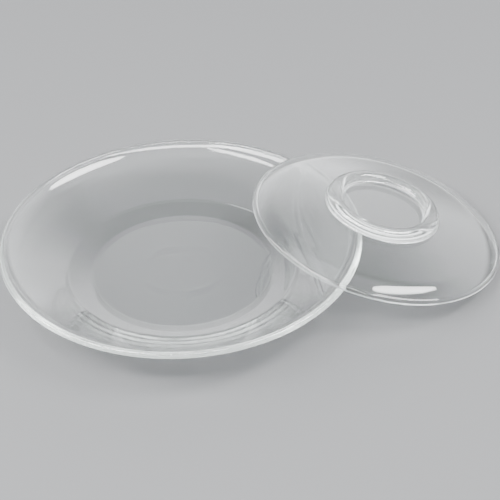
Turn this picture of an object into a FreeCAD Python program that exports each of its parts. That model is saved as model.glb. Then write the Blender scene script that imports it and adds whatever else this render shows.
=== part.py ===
import FreeCAD, Part
import math
import os

# A pair of pressed-glass dishes in the watch-glass shape, in millimetres.
# The large dish stands upright on its flat base. The small dish lies upside down
# beside it: its edge rests on the large dish's edge in two places, and its far
# side comes down to the table. Origin: centre of the large dish's base, on the
# table, +Z up. The small dish lies towards +X.

# ---- driving dimensions: large dish ----
large_radius = 100.0
large_height = 26.0
large_edge_radius = 1.85       # the edge is a round bead
large_edge_proud = 0.25        # that stands this proud of the wall's two faces
large_edge_fillet = 1.0        # and runs into them in a small hollow
large_edge_slope = 48.0        # how steeply the lip meets the edge, in degrees
large_lip_radius = 22.0        # the lip's upward curl, on its inner face
large_lip_slope = 24.0         # how steeply the wall meets the lip
large_floor_radius = 50.0      # flat floor inside the bowl
large_floor_height = 4.8       # its height, which is the base's thickness
large_base_radius = 48.5       # flat resting face
large_low_slope = 13.0         # the wall starts with a gentle rise
large_shoulder_radius = 62.5   # and steepens here
large_floor_blend = 7.0        # rounding between the floor and the gentle rise
large_shoulder_blend = 8.0     # rounding where the wall steepens

# ---- driving dimensions: small dish ----
small_radius = 71.5
small_height = 18.9
small_edge_radius = 1.85
small_edge_proud = 0.25
small_edge_fillet = 1.0
small_edge_slope = 40.0
small_lip_radius = 20.0
small_lip_slope = 11.0
small_floor_radius = 30.0
small_floor_height = 8.4
small_floor_blend = 12.0
foot_radius = 27.9             # middle of the round foot ring
foot_bead_radius = 4.4         # half the ring's width
foot_recess_depth = 3.7        # from the ring's crest to the disc inside it
foot_inner_fillet = 2.5
foot_outer_fillet = 1.3
wall_start_height = 5.6        # where the wall leaves the ring's outer fillet

# ---- how the small dish lies ----
small_centre_x = 109.7         # centre of its edge circle
small_centre_y = 15.1
small_centre_z = 19.60
small_tilt = 14.51             # its axis leans this far from upright, in degrees
small_tilt_heading = 7.84      # and leans towards this heading from +X

BLEND_ROUNDS = 12              # enough for the blend to meet the wall in one smooth line


def point(radius, height):
    """A point of a dish's outline, in the half plane that is turned about the axis."""
    return FreeCAD.Vector(radius, 0, height)


def step(start, distance, angle):
    """The point at a distance from start, in a direction given in degrees from outwards."""
    turn = math.radians(angle)
    return start + point(distance * math.cos(turn), distance * math.sin(turn))


def line(start, end):
    return Part.LineSegment(start, end).toShape()


def arc_about(centre, radius, first_angle, last_angle):
    """An arc from one direction to another, both in degrees from outwards."""
    middle_angle = (first_angle + last_angle) / 2
    first = step(centre, radius, first_angle)
    middle = step(centre, radius, middle_angle)
    last = step(centre, radius, last_angle)
    return Part.Arc(first, middle, last).toShape()


def slope_of(chord):
    return math.degrees(math.atan2(chord.z, chord.x))


def rising_arc(low_end, high_end, high_slope):
    """A hollow curve that rises outwards and has the given slope at its high end."""
    chord = high_end - low_end
    half_turn = math.radians(high_slope - slope_of(chord))
    sag = chord.Length / 2 * math.tan(half_turn / 2)
    middle = step(low_end + chord * 0.5, sag, slope_of(chord) - 90)
    return Part.Arc(low_end, middle, high_end).toShape()


def wall_and_lip(low_end, edge_end, lip_radius, lip_slope, edge_slope):
    """One face of a wall: a gentle rise, then the lip's tighter curl up to the edge."""
    lip_centre = step(edge_end, lip_radius, edge_slope + 90)
    lip_start = step(lip_centre, lip_radius, lip_slope - 90)
    lip = arc_about(lip_centre, lip_radius, lip_slope - 90, edge_slope - 90)
    return [rising_arc(low_end, lip_start, lip_slope), lip]


def edge_bead(centre, slope, radius, proud, fillet):
    """The rounded edge: where the outer and inner faces end, and the arcs between them."""
    half_wall = radius - proud
    back = math.sqrt((radius + fillet) ** 2 - (half_wall + fillet) ** 2)
    touch = math.degrees(math.atan2(half_wall + fillet, back))
    ends_middle = step(centre, back, slope + 180)
    outer_end = step(ends_middle, half_wall, slope - 90)
    inner_end = step(ends_middle, half_wall, slope + 90)
    outer_hollow = step(ends_middle, half_wall + fillet, slope - 90)
    inner_hollow = step(ends_middle, half_wall + fillet, slope + 90)
    arcs = [
        arc_about(outer_hollow, fillet, slope + 90, slope + touch),
        arc_about(centre, radius, slope - 180 + touch, slope + 180 - touch),
        arc_about(inner_hollow, fillet, slope - touch, slope - 90),
    ]
    return outer_end, inner_end, arcs


def disc_and_rise(disc_end, blend_radius, slope, shoulder_radius):
    """A flat disc and the gentle rise round it, up to the shoulder, and where they end."""
    blend_centre = disc_end + point(0, blend_radius)
    rise_start = step(blend_centre, blend_radius, slope - 90)
    rise_length = (shoulder_radius - rise_start.x) / math.cos(math.radians(slope))
    shoulder = step(rise_start, rise_length, slope)
    edges = [
        line(point(0, disc_end.z), disc_end),
        arc_about(blend_centre, blend_radius, -90, slope - 90),
        line(rise_start, shoulder),
    ]
    return shoulder, edges


def blended_wall(start, start_slope, blend_radius, edge_end, lip_radius, lip_slope, edge_slope):
    """From a run of known slope up to the edge: a rounding, the wall and the lip."""
    lip_centre = step(edge_end, lip_radius, edge_slope + 90)
    lip_start = step(lip_centre, lip_radius, lip_slope - 90)
    blend_centre = step(start, blend_radius, start_slope + 90)
    wall_start = start
    for _ in range(BLEND_ROUNDS):
        wall_slope = 2 * slope_of(lip_start - wall_start) - lip_slope
        wall_start = step(blend_centre, blend_radius, wall_slope - 90)
    return [
        arc_about(blend_centre, blend_radius, start_slope - 90, wall_slope - 90),
        *wall_and_lip(wall_start, edge_end, lip_radius, lip_slope, edge_slope),
    ]


def turned(edges):
    """The solid swept by a closed outline about the dish's axis."""
    face = Part.Face(Part.Wire(Part.__sortEdges__(edges)))
    solid = face.revolve(FreeCAD.Vector(0, 0, 0), FreeCAD.Vector(0, 0, 1), 360)
    return solid.removeSplitter()


def large_dish():
    """A bowl with a flat base, a wall that steepens towards the edge, and a beaded edge."""
    edge_centre = point(large_radius - large_edge_radius, large_height - large_edge_radius)
    outer_end, inner_end, edge = edge_bead(
        edge_centre, large_edge_slope, large_edge_radius, large_edge_proud, large_edge_fillet)
    wall_thickness = 2 * (large_edge_radius - large_edge_proud)
    outward = wall_thickness * math.sin(math.radians(large_low_slope))
    outer_shoulder_radius = large_shoulder_radius + outward
    rise = large_floor_blend, large_low_slope
    base_end = point(large_base_radius, 0)
    floor_end = point(large_floor_radius, large_floor_height)
    outer_shoulder, base = disc_and_rise(base_end, *rise, outer_shoulder_radius)
    inner_shoulder, floor = disc_and_rise(floor_end, *rise, large_shoulder_radius)
    bend = large_low_slope, large_shoulder_blend
    slopes = large_lip_slope, large_edge_slope
    return turned([
        *base,
        *blended_wall(outer_shoulder, *bend, outer_end, large_lip_radius + wall_thickness, *slopes),
        *edge,
        *blended_wall(inner_shoulder, *bend, inner_end, large_lip_radius, *slopes),
        *floor,
        line(point(0, large_floor_height), point(0, 0)),
    ])


def small_dish():
    """A shallower dish on a round foot ring, upright, with the ring's crest at height 0."""
    edge_centre = point(small_radius - small_edge_radius, small_height - small_edge_radius)
    outer_end, inner_end, edge = edge_bead(
        edge_centre, small_edge_slope, small_edge_radius, small_edge_proud, small_edge_fillet)
    floor_end = point(small_floor_radius, small_floor_height)

    # The fillet inside the ring touches the ring's bead and the recessed disc.
    bead_centre = point(foot_radius, foot_bead_radius)
    rise = foot_bead_radius - (foot_recess_depth - foot_inner_fillet)
    reach = foot_bead_radius + foot_inner_fillet
    run = math.sqrt(reach ** 2 - rise ** 2)
    inner_fillet_centre = point(foot_radius - run, foot_recess_depth - foot_inner_fillet)
    touch_angle = math.degrees(math.atan2(rise, run))
    recess_centre = point(0, foot_recess_depth)
    recess_end = step(inner_fillet_centre, foot_inner_fillet, 90)

    # The fillet outside the ring runs from its upright flank into the wall.
    flank_radius = foot_radius + foot_bead_radius
    outer_fillet_centre = point(flank_radius + foot_outer_fillet, wall_start_height - foot_outer_fillet)
    bead_side = point(flank_radius, foot_bead_radius)
    flank_top = step(outer_fillet_centre, foot_outer_fillet, 180)
    wall_start = step(outer_fillet_centre, foot_outer_fillet, 90)
    outer_lip_radius = small_lip_radius + 2 * (small_edge_radius - small_edge_proud)
    slopes = small_lip_slope, small_edge_slope
    return turned([
        line(recess_centre, recess_end),
        arc_about(inner_fillet_centre, foot_inner_fillet, 90, touch_angle),
        arc_about(bead_centre, foot_bead_radius, touch_angle - 180, 0),
        line(bead_side, flank_top),
        arc_about(outer_fillet_centre, foot_outer_fillet, 180, 90),
        *wall_and_lip(wall_start, outer_end, outer_lip_radius, *slopes),
        *edge,
        *blended_wall(floor_end, 0, small_floor_blend, inner_end, small_lip_radius, *slopes),
        line(point(0, small_floor_height), floor_end),
        line(point(0, small_floor_height), recess_centre),
    ])


def small_dish_lying():
    """The small dish turned upside down, leaning on the large dish's edge."""
    tilt = math.radians(small_tilt)
    heading = math.radians(small_tilt_heading)
    axis = FreeCAD.Vector(
        math.sin(tilt) * math.cos(heading),
        math.sin(tilt) * math.sin(heading),
        math.cos(tilt),
    )
    overturn = FreeCAD.Rotation(FreeCAD.Vector(0, 0, 1), axis * -1)
    edge_circle_height = small_height - small_edge_radius
    edge_circle_centre = FreeCAD.Vector(small_centre_x, small_centre_y, small_centre_z)
    crest_centre = edge_circle_centre + axis * edge_circle_height
    dish = small_dish()
    dish.Placement = FreeCAD.Placement(crest_centre, overturn)
    return dish


def export(shape, node):
    shape.exportStep("parts/" + node + ".step")


os.makedirs("parts", exist_ok=True)
export(large_dish(), "large_dish")
export(small_dish_lying(), "small_dish")
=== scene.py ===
import math

import bpy
from mathutils import Matrix, Vector, noise


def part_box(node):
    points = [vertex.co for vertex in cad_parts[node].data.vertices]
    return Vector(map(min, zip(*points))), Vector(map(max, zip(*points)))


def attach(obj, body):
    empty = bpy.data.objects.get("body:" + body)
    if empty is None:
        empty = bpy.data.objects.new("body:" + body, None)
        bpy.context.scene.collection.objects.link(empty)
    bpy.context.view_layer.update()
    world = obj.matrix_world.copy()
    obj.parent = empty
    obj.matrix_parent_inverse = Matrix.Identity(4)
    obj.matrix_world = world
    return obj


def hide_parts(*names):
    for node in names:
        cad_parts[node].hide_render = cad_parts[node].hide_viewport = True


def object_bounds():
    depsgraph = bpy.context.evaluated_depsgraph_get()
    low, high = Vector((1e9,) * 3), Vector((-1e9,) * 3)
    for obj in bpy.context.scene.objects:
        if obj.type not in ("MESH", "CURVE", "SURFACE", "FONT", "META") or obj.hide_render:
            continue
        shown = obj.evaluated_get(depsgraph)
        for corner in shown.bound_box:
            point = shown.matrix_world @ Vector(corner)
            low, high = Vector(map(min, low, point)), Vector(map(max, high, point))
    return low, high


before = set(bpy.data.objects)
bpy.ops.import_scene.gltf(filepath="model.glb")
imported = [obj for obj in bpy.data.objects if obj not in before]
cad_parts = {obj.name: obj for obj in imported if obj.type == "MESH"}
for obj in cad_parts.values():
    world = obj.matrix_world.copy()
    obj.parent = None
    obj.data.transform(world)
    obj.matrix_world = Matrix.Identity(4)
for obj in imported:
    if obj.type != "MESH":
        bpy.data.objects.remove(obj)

# Two pressed-glass dishes on a pale studio floor. Everything is in metres.
# A dish is turned from one closed outline, a list of (radius, height) points in its
# own upright frame, whose height 0 is the surface that it would stand on.

MM = 0.001
cad_low, cad_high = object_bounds()

# ---- sizes of the large dish, angles in degrees ----
large_low, large_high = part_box("large_dish")
LARGE_RADIUS = min(-large_low.x, large_high.x, -large_low.y, large_high.y)
LARGE_HEIGHT = large_high.z - large_low.z
LARGE_EDGE_RADIUS = 1.85 * MM
LARGE_EDGE_PROUD = 0.25 * MM
LARGE_EDGE_FILLET = 1.0 * MM
LARGE_EDGE_SLOPE = 48.0
LARGE_LIP_RADIUS = 22.0 * MM
LARGE_LIP_SLOPE = 24.0
LARGE_FLOOR_RADIUS = 50.0 * MM
LARGE_FLOOR_HEIGHT = 4.8 * MM
LARGE_BASE_RADIUS = 48.5 * MM
LARGE_LOW_SLOPE = 13.0
LARGE_SHOULDER_RADIUS = 62.5 * MM
LARGE_FLOOR_BLEND = 7.0 * MM
LARGE_SHOULDER_BLEND = 8.0 * MM

# ---- sizes of the small dish, slopes in degrees ----
small_low, small_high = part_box("small_dish")
SMALL_RADIUS = 71.49 * MM       # this and the height are a hair under the true 71.5 and 18.9,
SMALL_HEIGHT = 18.895 * MM      # so that the finer mesh stays inside the small dish's box
SMALL_EDGE_RADIUS = 1.85 * MM
SMALL_EDGE_PROUD = 0.25 * MM
SMALL_EDGE_FILLET = 1.0 * MM
SMALL_EDGE_SLOPE = 40.0
SMALL_LIP_RADIUS = 20.0 * MM
SMALL_LIP_SLOPE = 11.0
SMALL_FLOOR_RADIUS = 30.0 * MM
SMALL_FLOOR_HEIGHT = 8.4 * MM
SMALL_FLOOR_BLEND = 12.0 * MM
FOOT_RADIUS = 27.9 * MM
FOOT_BEAD_RADIUS = 4.4 * MM
FOOT_RECESS_DEPTH = 3.7 * MM
FOOT_INNER_FILLET = 2.5 * MM
FOOT_OUTER_FILLET = 1.3 * MM
WALL_START_HEIGHT = 5.6 * MM
SMALL_TILT = math.radians(14.51)
SMALL_TILT_HEADING = math.radians(7.84)

# ---- mesh fineness ----
WALL_STEP = 1.2 * MM
LIP_STEP = 0.7 * MM
BEAD_STEP = 0.28 * MM
TURN_STEPS = 300
BLEND_ROUNDS = 12

# ---- how far pressed glass strays from its true shape ----
RIPPLE_DEPTH = 0.015 * MM       # slow swells that the mould and the cooling leave
RIPPLE_LENGTH = 24 * MM
RIPPLE_FADE = 5 * MM            # they fade out this near to a resting face or an edge
GATHER_RADIUS = 22 * MM         # rim of the cooler glass that met the mould first
GATHER_STRAY = 0.16             # how far that rim is from round
GATHER_HEIGHT = 0.16 * MM
GATHER_WIDTH = 1.3 * MM
GATHER_RIM_PACE = 1.4           # how fast its rim wanders on the way round
GATHER_FADE_PACE = 1.1          # and how fast it comes and goes
GATHER_FADE_GAIN = 1.3
# Places in the noise that each stray is read from, so that no two are alike.
UPPER_FACE_DRIFT = 3.7
LARGE_RIPPLE_PLACE = 11.3
SMALL_RIPPLE_PLACE = 29.9
GATHER_RIM_PLACE = Vector((5, 2, 8))
GATHER_FADE_PLACE = Vector((1, 7, 3))

# ---- glass ----
GLASS_IOR = 1.52
GLASS_CLEAN_TINT = (0.985, 0.995, 0.99, 1)
GLASS_SMUDGED_TINT = (0.955, 0.975, 0.97, 1)
GLASS_DEPTH_TINT = (0.85, 0.93, 0.875, 1)
GLASS_ABSORPTION = 2.6
SMUDGE_SCALE = 26
SMUDGE_ROUGHNESS = 0.045
SMUDGE_START, SMUDGE_FULL = 0.50, 0.74
CHILL_SCALE = 160
CHILL_STRENGTH = 0.03
CHILL_DEPTH = 0.4 * MM
SEED_SCALE = 75
SEED_CORE, SEED_RIM = 0.015, 0.05
SEED_STRENGTH = 0.5
SEED_DEPTH = 0.2 * MM


# ---------------------------------------------------------------- outlines
def step(start, distance, angle):
    """The point at a distance from start, in a direction given in degrees from outwards."""
    turn = math.radians(angle)
    return Vector((start[0] + distance * math.cos(turn), start[1] + distance * math.sin(turn)))


def line(start, end, spacing=WALL_STEP):
    """Points along a straight run, without its last."""
    start, end = Vector(start), Vector(end)
    count = max(1, round((end - start).length / spacing))
    return [start.lerp(end, i / count) for i in range(count)]


def arc_about(centre, radius, first, last, spacing=BEAD_STEP):
    """Points along an arc between two directions in degrees, without its last."""
    count = max(4, round(abs(math.radians(last - first)) * radius / spacing))
    return [step(centre, radius, first + (last - first) * i / count) for i in range(count)]


def slope_of(chord):
    return math.degrees(math.atan2(chord.y, chord.x))


def rising_arc(low_end, high_end, high_slope):
    """Points along a hollow curve with the given slope at its high end, without the last."""
    chord = Vector(high_end) - Vector(low_end)
    half_turn = high_slope - slope_of(chord)
    radius = chord.length / 2 / math.sin(math.radians(half_turn))
    centre = step(high_end, radius, high_slope + 90)
    return arc_about(centre, radius, slope_of(chord) - half_turn - 90, high_slope - 90, WALL_STEP)


def wall_and_lip(low_end, edge_end, lip_radius, lip_slope, edge_slope):
    """One face of a wall: a gentle rise, then the lip's tighter curl up to the edge."""
    lip_centre = step(edge_end, lip_radius, edge_slope + 90)
    lip_start = step(lip_centre, lip_radius, lip_slope - 90)
    lip = arc_about(lip_centre, lip_radius, lip_slope - 90, edge_slope - 90, LIP_STEP)
    return rising_arc(low_end, lip_start, lip_slope) + lip


def edge_bead(centre, slope, radius, proud, fillet):
    """The rounded edge: where the outer and inner faces end, and the points between them."""
    half_wall = radius - proud
    back = math.sqrt((radius + fillet) ** 2 - (half_wall + fillet) ** 2)
    touch = math.degrees(math.atan2(half_wall + fillet, back))
    ends_middle = step(centre, back, slope + 180)
    outer_end = step(ends_middle, half_wall, slope - 90)
    inner_end = step(ends_middle, half_wall, slope + 90)
    outer_hollow = step(ends_middle, half_wall + fillet, slope - 90)
    inner_hollow = step(ends_middle, half_wall + fillet, slope + 90)
    points = arc_about(outer_hollow, fillet, slope + 90, slope + touch)
    points += arc_about(centre, radius, slope - 180 + touch, slope + 180 - touch)
    points += arc_about(inner_hollow, fillet, slope - touch, slope - 90)
    return outer_end, inner_end, points + [inner_end]


def disc_and_rise(disc_end, blend_radius, slope, shoulder_radius):
    """A flat disc and the gentle rise round it, and the shoulder where they end."""
    blend_centre = (disc_end[0], disc_end[1] + blend_radius)
    rise_start = step(blend_centre, blend_radius, slope - 90)
    rise_length = (shoulder_radius - rise_start.x) / math.cos(math.radians(slope))
    shoulder = step(rise_start, rise_length, slope)
    points = line((0, disc_end[1]), disc_end)
    points += arc_about(blend_centre, blend_radius, -90, slope - 90)
    return shoulder, points + line(rise_start, shoulder)


def blended_wall(start, start_slope, blend_radius, edge_end, lip_radius, lip_slope, edge_slope):
    """From a run of known slope up to the edge: a rounding, the wall and the lip."""
    lip_centre = step(edge_end, lip_radius, edge_slope + 90)
    lip_start = step(lip_centre, lip_radius, lip_slope - 90)
    blend_centre = step(start, blend_radius, start_slope + 90)
    wall_start = Vector(start)
    for _ in range(BLEND_ROUNDS):
        wall_slope = 2 * slope_of(lip_start - wall_start) - lip_slope
        wall_start = step(blend_centre, blend_radius, wall_slope - 90)
    points = arc_about(blend_centre, blend_radius, start_slope - 90, wall_slope - 90)
    return points + wall_and_lip(wall_start, edge_end, lip_radius, lip_slope, edge_slope)


def large_outline():
    """From the base's centre out, over the edge and back to the floor's centre."""
    edge_centre = (LARGE_RADIUS - LARGE_EDGE_RADIUS, LARGE_HEIGHT - LARGE_EDGE_RADIUS)
    outer_end, inner_end, edge = edge_bead(
        edge_centre, LARGE_EDGE_SLOPE, LARGE_EDGE_RADIUS, LARGE_EDGE_PROUD, LARGE_EDGE_FILLET)
    wall_thickness = 2 * (LARGE_EDGE_RADIUS - LARGE_EDGE_PROUD)
    outward = wall_thickness * math.sin(math.radians(LARGE_LOW_SLOPE))
    outer_shoulder_radius = LARGE_SHOULDER_RADIUS + outward
    rise = LARGE_FLOOR_BLEND, LARGE_LOW_SLOPE
    base_end = (LARGE_BASE_RADIUS, 0)
    floor_end = (LARGE_FLOOR_RADIUS, LARGE_FLOOR_HEIGHT)
    outer_shoulder, base = disc_and_rise(base_end, *rise, outer_shoulder_radius)
    inner_shoulder, floor_run = disc_and_rise(floor_end, *rise, LARGE_SHOULDER_RADIUS)
    bend = LARGE_LOW_SLOPE, LARGE_SHOULDER_BLEND
    slopes = LARGE_LIP_SLOPE, LARGE_EDGE_SLOPE
    outer_wall = blended_wall(
        outer_shoulder, *bend, outer_end, LARGE_LIP_RADIUS + wall_thickness, *slopes)
    inner_wall = blended_wall(inner_shoulder, *bend, inner_end, LARGE_LIP_RADIUS, *slopes)
    return base + outer_wall + edge + (floor_run + inner_wall)[::-1]


def small_outline():
    """From the recess's centre out, round the foot ring, over the edge and back."""
    edge_centre = (SMALL_RADIUS - SMALL_EDGE_RADIUS, SMALL_HEIGHT - SMALL_EDGE_RADIUS)
    outer_end, inner_end, edge = edge_bead(
        edge_centre, SMALL_EDGE_SLOPE, SMALL_EDGE_RADIUS, SMALL_EDGE_PROUD, SMALL_EDGE_FILLET)
    floor_end = (SMALL_FLOOR_RADIUS, SMALL_FLOOR_HEIGHT)
    bead_centre = (FOOT_RADIUS, FOOT_BEAD_RADIUS)
    rise = FOOT_BEAD_RADIUS - (FOOT_RECESS_DEPTH - FOOT_INNER_FILLET)
    run = math.sqrt((FOOT_BEAD_RADIUS + FOOT_INNER_FILLET) ** 2 - rise ** 2)
    inner_centre = (FOOT_RADIUS - run, FOOT_RECESS_DEPTH - FOOT_INNER_FILLET)
    touch = math.degrees(math.atan2(rise, run))
    flank_radius = FOOT_RADIUS + FOOT_BEAD_RADIUS
    outer_centre = (flank_radius + FOOT_OUTER_FILLET, WALL_START_HEIGHT - FOOT_OUTER_FILLET)
    wall_start = step(outer_centre, FOOT_OUTER_FILLET, 90)
    outer_lip_radius = SMALL_LIP_RADIUS + 2 * (SMALL_EDGE_RADIUS - SMALL_EDGE_PROUD)
    slopes = SMALL_LIP_SLOPE, SMALL_EDGE_SLOPE
    points = line((0, FOOT_RECESS_DEPTH), (inner_centre[0], FOOT_RECESS_DEPTH))
    points += arc_about(inner_centre, FOOT_INNER_FILLET, 90, touch)
    points += arc_about(bead_centre, FOOT_BEAD_RADIUS, touch - 180, 0)
    points += arc_about(outer_centre, FOOT_OUTER_FILLET, 180, 90)
    points += wall_and_lip(wall_start, outer_end, outer_lip_radius, *slopes)
    inner = line((0, SMALL_FLOOR_HEIGHT), floor_end)
    inner += blended_wall(floor_end, 0, SMALL_FLOOR_BLEND, inner_end, SMALL_LIP_RADIUS, *slopes)
    return points + edge + inner[::-1]


# ---------------------------------------------------------------- ripples
def eased(value):
    """0 below 0, 1 above 1 and a smooth rise between."""
    value = min(max(value, 0), 1)
    return value * value * (3 - 2 * value)


def ripple(place, upper, smooth_from, smooth_to, noise_place):
    """How far the surface strays up at a place, on the upper or lower face of a dish."""
    radius = math.hypot(place.x, place.y)
    inward = 1 if upper else eased((radius - smooth_from) / RIPPLE_FADE)
    weight = inward * eased((smooth_to - radius) / RIPPLE_FADE)
    drift = Vector((0, 0, noise_place + (UPPER_FACE_DRIFT if upper else 0)))
    return RIPPLE_DEPTH * weight * noise.noise(place / RIPPLE_LENGTH + drift)


def gather_mark(place):
    """The low uneven ring that the first cooled glass leaves in the middle of a floor."""
    radius = math.hypot(place.x, place.y)
    around = Vector((place.x, place.y, 0)).normalized() if radius else Vector((0, 0, 0))
    wander = noise.noise(around * GATHER_RIM_PACE + GATHER_RIM_PLACE)
    rim = GATHER_RADIUS * (1 + GATHER_STRAY * wander)
    fade = noise.noise(around * GATHER_FADE_PACE + GATHER_FADE_PLACE)
    height = GATHER_HEIGHT * eased(0.5 + GATHER_FADE_GAIN * fade)
    return height * math.exp(-((radius - rim) / GATHER_WIDTH) ** 2)


def large_stray(place, upper):
    smooth_to = LARGE_RADIUS - 2 * LARGE_EDGE_RADIUS
    stray = ripple(place, upper, LARGE_BASE_RADIUS, smooth_to, LARGE_RIPPLE_PLACE)
    return stray + (gather_mark(place) if upper else 0)


def small_stray(place, upper):
    flank = FOOT_RADIUS + FOOT_BEAD_RADIUS
    smooth_to = SMALL_RADIUS - 2 * SMALL_EDGE_RADIUS
    return ripple(place, upper, flank, smooth_to, SMALL_RIPPLE_PLACE)


# ---------------------------------------------------------------- meshes
def turned(name, outline, stray, placing):
    """A closed dish turned from its outline, strayed a little, then put in its place."""
    inner = outline[1:-1]
    widest = max(range(len(inner)), key=lambda i: inner[i].x)
    vertices = [Vector((0, 0, outline[0].y))]
    for k in range(TURN_STEPS):
        angle = math.tau * k / TURN_STEPS
        for i, p in enumerate(inner):
            place = Vector((p.x * math.cos(angle), p.x * math.sin(angle), p.y))
            place.z += stray(place, i > widest)
            vertices.append(place)
    vertices.append(Vector((0, 0, outline[-1].y)))
    top = len(vertices) - 1
    size = len(inner)
    faces = []
    for k in range(TURN_STEPS):
        here = 1 + k * size
        there = 1 + (k + 1) % TURN_STEPS * size
        faces.append((0, there, here))
        for i in range(size - 1):
            faces.append((here + i, there + i, there + i + 1, here + i + 1))
        faces.append((here + size - 1, there + size - 1, top))
    mesh = bpy.data.meshes.new(name)
    mesh.from_pydata([placing @ v for v in vertices], [], faces)
    mesh.polygons.foreach_set("use_smooth", [True] * len(mesh.polygons))
    mesh.validate()
    piece = bpy.data.objects.new(name, mesh)
    bpy.context.scene.collection.objects.link(piece)
    return piece


def lying_place():
    """Where the small dish lies: upside down, leaning, its edge circle centred in its box."""
    axis = Vector((
        math.sin(SMALL_TILT) * math.cos(SMALL_TILT_HEADING),
        math.sin(SMALL_TILT) * math.sin(SMALL_TILT_HEADING),
        math.cos(SMALL_TILT),
    ))
    edge_centre = (small_low + small_high) / 2
    edge_circle_radius = SMALL_RADIUS - SMALL_EDGE_RADIUS
    edge_centre.z = small_low.z + SMALL_EDGE_RADIUS + edge_circle_radius * math.sin(SMALL_TILT)
    crest_centre = edge_centre + axis * (SMALL_HEIGHT - SMALL_EDGE_RADIUS)
    turn = Vector((0, 0, 1)).rotation_difference(-axis)
    return Matrix.Translation(crest_centre) @ turn.to_matrix().to_4x4()


# ---------------------------------------------------------------- materials
def added(nodes, kind, **values):
    """A new node with the given plain inputs, named with underscores for spaces."""
    node = nodes.new(kind)
    for name, value in values.items():
        node.inputs[name.replace("_", " ")].default_value = value
    return node


def spread(nodes, links, factor, low, high):
    """A node that maps a 0 to 1 factor onto the range low to high, eased at both ends."""
    node = nodes.new("ShaderNodeMapRange")
    node.interpolation_type = "SMOOTHSTEP"
    node.inputs["To Min"].default_value = low
    node.inputs["To Max"].default_value = high
    links.new(factor, node.inputs["Value"])
    return node


def clear_glass():
    """Clear pressed soda-lime glass: faint green in depth, chill marks, seeds and smudges."""
    material = bpy.data.materials.new("clear_pressed_glass")
    material.use_nodes = True
    nodes, links = material.node_tree.nodes, material.node_tree.links
    shader = nodes["Principled BSDF"]
    shader.inputs["IOR"].default_value = GLASS_IOR
    shader.inputs["Transmission Weight"].default_value = 1.0
    place = nodes.new("ShaderNodeTexCoord").outputs["Object"]

    # Smudges: a handled surface is very slightly less clear in patches.
    smudge = added(
        nodes, "ShaderNodeTexNoise", Scale=SMUDGE_SCALE, Detail=4, Roughness=0.55, Distortion=0.6)
    links.new(place, smudge.inputs["Vector"])
    smudge_range = spread(nodes, links, smudge.outputs["Fac"], 0.0, SMUDGE_ROUGHNESS)
    smudge_range.inputs["From Min"].default_value = SMUDGE_START
    smudge_range.inputs["From Max"].default_value = SMUDGE_FULL
    links.new(smudge_range.outputs["Result"], shader.inputs["Roughness"])
    tint = nodes.new("ShaderNodeValToRGB")
    tint.color_ramp.elements[0].color = GLASS_CLEAN_TINT
    tint.color_ramp.elements[1].color = GLASS_SMUDGED_TINT
    links.new(smudge.outputs["Fac"], tint.inputs["Fac"])
    links.new(tint.outputs["Color"], shader.inputs["Base Color"])

    # Relief: chill marks from the mould, and pinhead seeds near the surface.
    chill = added(nodes, "ShaderNodeTexNoise", Scale=CHILL_SCALE, Detail=2, Roughness=0.4)
    links.new(place, chill.inputs["Vector"])
    seeds = added(nodes, "ShaderNodeTexVoronoi", Scale=SEED_SCALE, Randomness=1.0)
    links.new(place, seeds.inputs["Vector"])
    pits = spread(nodes, links, seeds.outputs["Distance"], 1.0, 0.0)
    pits.inputs["From Min"].default_value = SEED_CORE
    pits.inputs["From Max"].default_value = SEED_RIM
    chill_bump = added(nodes, "ShaderNodeBump", Strength=CHILL_STRENGTH, Distance=CHILL_DEPTH)
    links.new(chill.outputs["Fac"], chill_bump.inputs["Height"])
    seed_bump = added(nodes, "ShaderNodeBump", Strength=SEED_STRENGTH, Distance=SEED_DEPTH)
    links.new(pits.outputs["Result"], seed_bump.inputs["Height"])
    links.new(chill_bump.outputs["Normal"], seed_bump.inputs["Normal"])
    links.new(seed_bump.outputs["Normal"], shader.inputs["Normal"])

    volume = added(
        nodes, "ShaderNodeVolumeAbsorption", Color=GLASS_DEPTH_TINT, Density=GLASS_ABSORPTION)
    links.new(volume.outputs["Volume"], nodes["Material Output"].inputs["Volume"])
    return material


FLOOR_COLOUR = (0.105, 0.107, 0.11, 1)
FLOOR_ROUGHNESS = 0.7


def floor_material():
    """A matt floor, dark enough to come out pale grey under the strong lights."""
    material = bpy.data.materials.new("pale_floor")
    material.use_nodes = True
    shader = material.node_tree.nodes["Principled BSDF"]
    shader.inputs["Base Color"].default_value = FLOOR_COLOUR
    shader.inputs["Roughness"].default_value = FLOOR_ROUGHNESS
    return material


# ---------------------------------------------------------------- the dishes
glass = clear_glass()

large_piece = turned("large_glass_dish", large_outline(), large_stray, Matrix.Identity(4))
large_piece.data.materials.append(glass)
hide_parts("large_dish")
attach(large_piece, "large_dish")

small_piece = turned("small_glass_dish", small_outline(), small_stray, lying_place())
small_piece.data.materials.append(glass)
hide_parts("small_dish")
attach(small_piece, "small_dish")


# ---------------------------------------------------------------- studio
LIGHT_BOUNCES = 64
FLOOR_GAP = 0.2 * MM
FLOOR_SIZE = 6.0

floor_mesh = bpy.data.meshes.new("studio_floor")
half = FLOOR_SIZE / 2
corners = [(-half, -half), (half, -half), (half, half), (-half, half)]
floor_mesh.from_pydata([(x, y, -FLOOR_GAP) for x, y in corners], [], [(0, 1, 2, 3)])
floor_mesh.materials.append(floor_material())
floor = bpy.data.objects.new("studio_floor", floor_mesh)
bpy.context.scene.collection.objects.link(floor)


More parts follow.
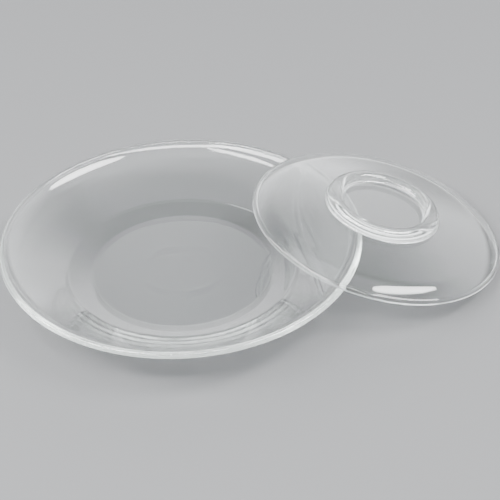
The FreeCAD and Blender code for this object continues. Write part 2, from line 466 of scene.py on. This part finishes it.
def soft_light(name, place, along, size, power):
    """A long oval soft light that faces the dishes, its long axis lying along a direction."""
    ahead = -Vector(place).normalized()
    side = (Vector(along) - ahead * Vector(along).dot(ahead)).normalized()
    data = bpy.data.lights.new(name, "AREA")
    data.shape = "ELLIPSE"
    data.size, data.size_y = size
    data.energy = power
    lamp = bpy.data.objects.new(name, data)
    axes = Matrix((side, (-ahead).cross(side), -ahead)).transposed()
    lamp.matrix_world = Matrix.Translation(place) @ axes.to_4x4()
    bpy.context.scene.collection.objects.link(lamp)


soft_light("right_softbox", (0.94, -0.05, 1.29), (-0.27, -0.38, 0.20), (1.10, 0.42), 48)
soft_light("left_softbox", (-1.10, -0.32, 1.10), (0.58, -0.73, 0.36), (2.20, 0.34), 66)
soft_light("front_softbox", (0.00, -0.80, 1.39), (1, 0, 0), (2.40, 0.18), 42)
soft_light("crown_softbox", (-0.63, -0.19, 1.46), (0.475, -0.87, 0.13), (1.10, 0.20), 19)

cycles = bpy.context.scene.cycles
cycles.max_bounces = LIGHT_BOUNCES
cycles.transmission_bounces = LIGHT_BOUNCES
cycles.glossy_bounces = LIGHT_BOUNCES


def ramped(nodes, links, value, start, end, low, high):
    """A node that eases from low to high while a value goes from start to end."""
    node = spread(nodes, links, value, low, high)
    node.inputs["From Min"].default_value = start
    node.inputs["From Max"].default_value = end
    return node.outputs["Result"]


def joined(nodes, links, operation, first, second):
    """The result of a sum or product of two outputs, or of an output and a number."""
    node = nodes.new("ShaderNodeMath")
    node.operation = operation
    links.new(first, node.inputs[0])
    if isinstance(second, float):
        node.inputs[1].default_value = second
    else:
        links.new(second, node.inputs[1])
    return node.outputs["Value"]


WORLD_COLOUR = (0.97, 0.98, 1.0, 1)
WORLD_STRENGTH = 2.7


def studio_world():
    """A surround that is bright above the horizon and behind the dishes, under a dim ceiling.

    Each ramp eases between two brightnesses while a direction's height (Z, 0 at the
    horizon and 1 overhead) or depth (Y, 1 behind the dishes) goes between two values.
    """
    world = bpy.data.worlds.new("studio")
    world.use_nodes = True
    nodes, links = world.node_tree.nodes, world.node_tree.links
    split = nodes.new("ShaderNodeSeparateXYZ")
    links.new(nodes.new("ShaderNodeTexCoord").outputs["Generated"], split.inputs["Vector"])
    depth, height = split.outputs["Y"], split.outputs["Z"]
    surround = ramped(nodes, links, height, 0.42, 0.84, 1.0, 0.10)
    horizon = ramped(nodes, links, height, 0.0, 0.24, 0.12, 1.25)
    behind = ramped(nodes, links, depth, -0.6, 0.6, 0.35, 1.0)
    ceiling = ramped(nodes, links, height, 0.70, 0.90, 0.0, 0.45)
    ceiling_front = ramped(nodes, links, depth, 0.22, 0.42, 1.0, 0.0)
    surround = joined(nodes, links, "MULTIPLY", surround, horizon)
    surround = joined(nodes, links, "MULTIPLY", surround, behind)
    ceiling = joined(nodes, links, "MULTIPLY", ceiling, ceiling_front)
    total = joined(nodes, links, "ADD", surround, ceiling)
    background = nodes["Background"]
    background.inputs["Color"].default_value = WORLD_COLOUR
    strength = joined(nodes, links, "MULTIPLY", total, WORLD_STRENGTH)
    links.new(strength, background.inputs["Strength"])
    return world


bpy.context.scene.world = studio_world()


# ---------------------------------------------------------------- camera
CAMERA_ELEVATION = math.radians(36.86)
CAMERA_ROLL = math.radians(-1.72)
CAMERA_DISTANCE = 1.0
AIM_SHIFT = Vector((-1.3, 0, -5.5)) * MM
LENS = 129.6
SENSOR_WIDTH = 36
CLIP_END = 20

ahead = Vector((0, math.cos(CAMERA_ELEVATION), -math.sin(CAMERA_ELEVATION)))
level_right = Vector((1, 0, 0))
level_up = level_right.cross(ahead)
right = level_right * math.cos(CAMERA_ROLL) + level_up * math.sin(CAMERA_ROLL)
up = right.cross(ahead)
aim = (cad_low + cad_high) / 2 + AIM_SHIFT

camera_data = bpy.data.cameras.new("camera")
camera_data.lens = LENS
camera_data.sensor_width = SENSOR_WIDTH
camera_data.clip_end = CLIP_END
camera = bpy.data.objects.new("camera", camera_data)
turn = Matrix((right, up, -ahead)).transposed()
camera.matrix_world = Matrix.Translation(aim - ahead * CAMERA_DISTANCE) @ turn.to_4x4()
bpy.context.scene.collection.objects.link(camera)
bpy.context.scene.camera = camera
